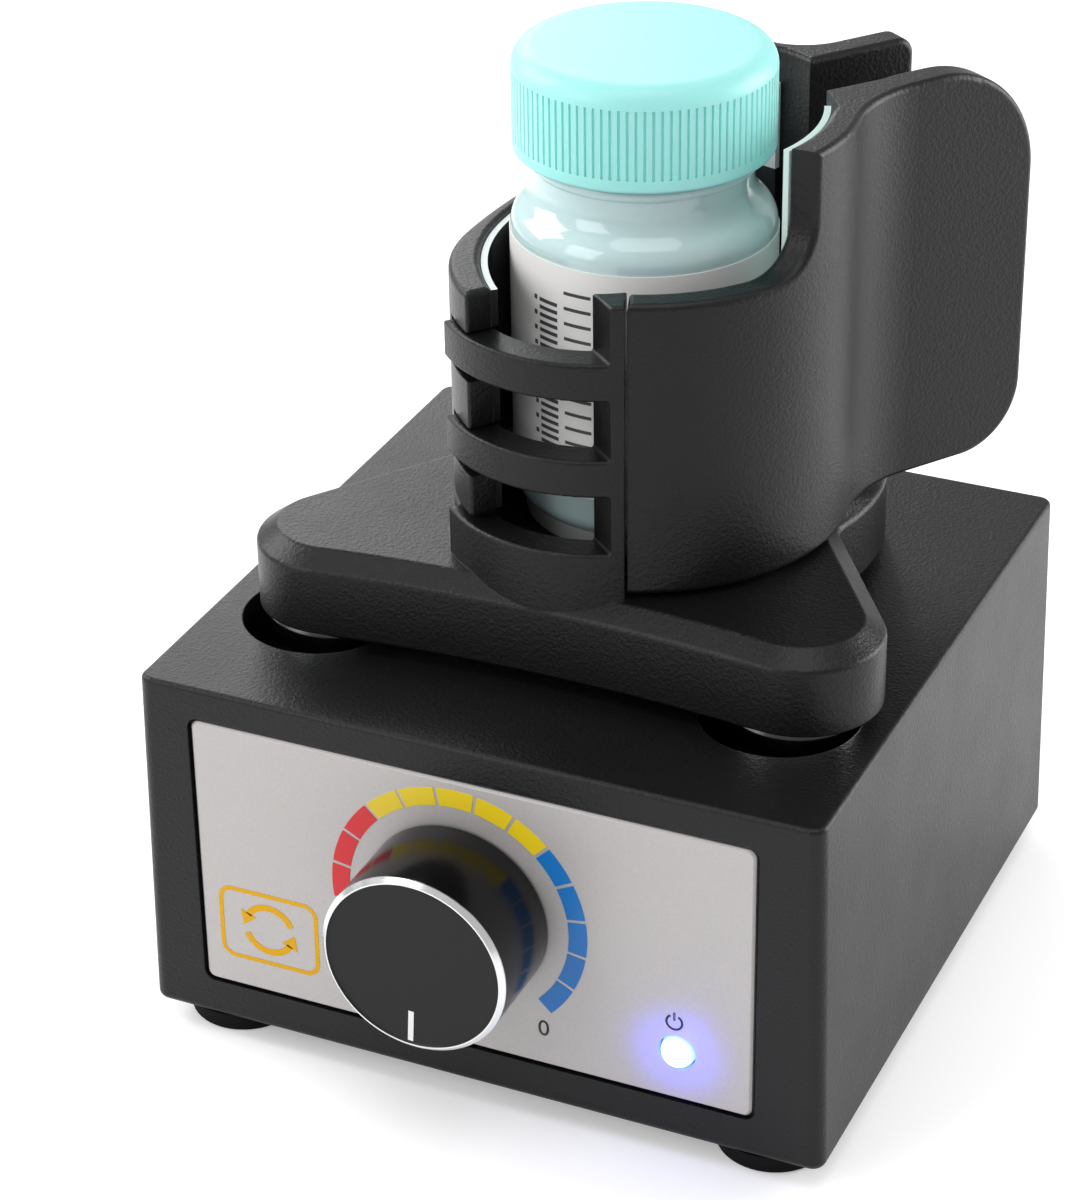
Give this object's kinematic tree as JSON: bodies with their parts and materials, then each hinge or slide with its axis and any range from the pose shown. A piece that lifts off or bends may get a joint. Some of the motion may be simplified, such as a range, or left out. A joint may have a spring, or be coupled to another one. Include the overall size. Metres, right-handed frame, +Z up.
{
  "type": "vortex mixer",
  "caption": "Small orbital bottle shaker: a square housing with a speed knob, and a platform on steel balls that carries a sprung bottle clamp.",
  "frame": {"origin": "middle of the whole object's bounding box at the level that the feet stand on", "axes": "+Z up, -Y towards the knob and front panel, +X to the right seen from the front"},
  "size_m": [0.1024, 0.1142, 0.1396],
  "materials": {
    "black_plastic": "moulded black plastic with a fine satin grain",
    "black_rubber": "matt black rubber",
    "steel": "plain turned or pressed steel",
    "bright_steel": "polished ball steel",
    "panel_metal": "satin silver-grey plate with a bright bevel",
    "dial_blue": "blue print",
    "dial_yellow": "yellow print",
    "dial_red": "red print",
    "lamp": "clear lamp body that lights blue-white",
    "pot_metal": "zinc-plated steel",
    "circuit_board": "green glass-fibre board",
    "hub_aluminium": "turned aluminium",
    "brass": "plain brass",
    "liner_soft": "soft white to pale green foam sheet",
    "knob_black": "black anodised metal, glossy side and matt face",
    "knob_bright": "bright cut edge",
    "pointer_white": "white filled line",
    "bottle_plastic": "clear pale green plastic",
    "label_paper": "plain white label",
    "cap_plastic": "pale green moulded cap"
  },
  "bodies": {
    "base": {"housing_shell": "black_plastic", "base_cover": "black_plastic", "rubber_feet": "black_rubber", "base_screws": "steel", "front_panel": "panel_metal", "dial_band_low": "dial_blue", "dial_band_middle": "dial_yellow", "dial_band_high": "dial_red", "power_lamp": "lamp", "lamp_holder": "black_plastic", "potentiometer": "pot_metal", "potentiometer_nut": "steel", "control_board": "circuit_board", "board_parts": "black_plastic", "power_inlet": "black_plastic", "inlet_nut": "steel", "motor_can": "steel", "motor_end_cap": "black_plastic", "motor_plate": "steel", "motor_plate_screws": "steel"},
    "rotor": {"motor_shaft": "steel", "eccentric_hub": "hub_aluminium", "counterweight": "brass", "hub_grub_screw": "steel", "eccentric_pin": "steel", "bearing_inner_ring": "steel"},
    "platform": {"platform": "black_plastic", "bearing_outer_ring": "steel", "bearing_balls": "bright_steel", "bearing_retainer": "black_plastic", "bottle_mat": "black_rubber", "clamp_pivot_pin": "steel", "clamp_spring": "steel"},
    "right_jaw": {"right_jaw": "black_plastic", "right_jaw_liner": "liner_soft"},
    "left_jaw": {"left_jaw": "black_plastic", "left_jaw_liner": "liner_soft"},
    "knob": {"knob_body": "knob_black", "knob_rim": "knob_bright", "knob_pointer": "pointer_white", "potentiometer_shaft": "steel"},
    "bottle": {"bottle": "bottle_plastic", "bottle_label": "label_paper", "bottle_cap": "cap_plastic", "bottle_cap_liner": "liner_soft"},
    "ball_front_left": {"support_ball_front_left": "bright_steel"},
    "ball_front_right": {"support_ball_front_right": "bright_steel"},
    "ball_rear": {"support_ball_rear": "bright_steel"}
  },
  "joints": [
    {"name": "shaft_spin", "type": "hinge", "parent": "base", "child": "rotor", "pos_m": [0, 0.00665, 0.0427], "axis": [0, 0, 1], "continuous": true},
    {"name": "platform_orbit", "type": "hinge", "parent": "rotor", "child": "platform", "pos_m": [0.00193, 0.00895, 0.0607], "axis": [0, 0, 1], "continuous": true},
    {"name": "ball_roll_front_left", "type": "hinge", "parent": "base", "child": "ball_front_left", "pos_m": [-0.0345, -0.01735, 0.0586], "axis": [0, 0, 1], "continuous": true},
    {"name": "ball_roll_front_right", "type": "hinge", "parent": "base", "child": "ball_front_right", "pos_m": [0.0345, -0.01735, 0.0586], "axis": [0, 0, 1], "continuous": true},
    {"name": "ball_roll_rear", "type": "hinge", "parent": "base", "child": "ball_rear", "pos_m": [0, 0.03665, 0.0586], "axis": [0, 0, 1], "continuous": true},
    {"name": "right_jaw_pivot", "type": "hinge", "parent": "platform", "child": "right_jaw", "pos_m": [0.02283, 0.02495, 0.0726], "axis": [0, 0, 1], "range_deg": [0, 12], "stiffness_Nm_per_rad": 0.2, "springref_deg": -14.32},
    {"name": "left_jaw_pivot", "type": "hinge", "parent": "platform", "child": "left_jaw", "pos_m": [0.02283, 0.02495, 0.0726], "axis": [0, 0, 1], "range_deg": [-12, 0]},
    {"name": "knob_turn", "type": "hinge", "parent": "base", "child": "knob", "pos_m": [-0.0019, -0.04265, 0.0321], "axis": [0, -1, 0], "range_deg": [0, 300]},
    {"name": "bottle_lift", "type": "slide", "parent": "platform", "child": "bottle", "axis": [0, 0, 1], "range_m": [0, 0.065]}
  ],
  "couplings": [
    {"joint": "platform_orbit", "follows": "shaft_spin", "ratio": -1},
    {"joint": "ball_roll_front_left", "follows": "shaft_spin", "ratio": 1},
    {"joint": "ball_roll_front_right", "follows": "shaft_spin", "ratio": 1},
    {"joint": "ball_roll_rear", "follows": "shaft_spin", "ratio": 1},
    {"joint": "left_jaw_pivot", "follows": "right_jaw_pivot", "ratio": -1}
  ]
}
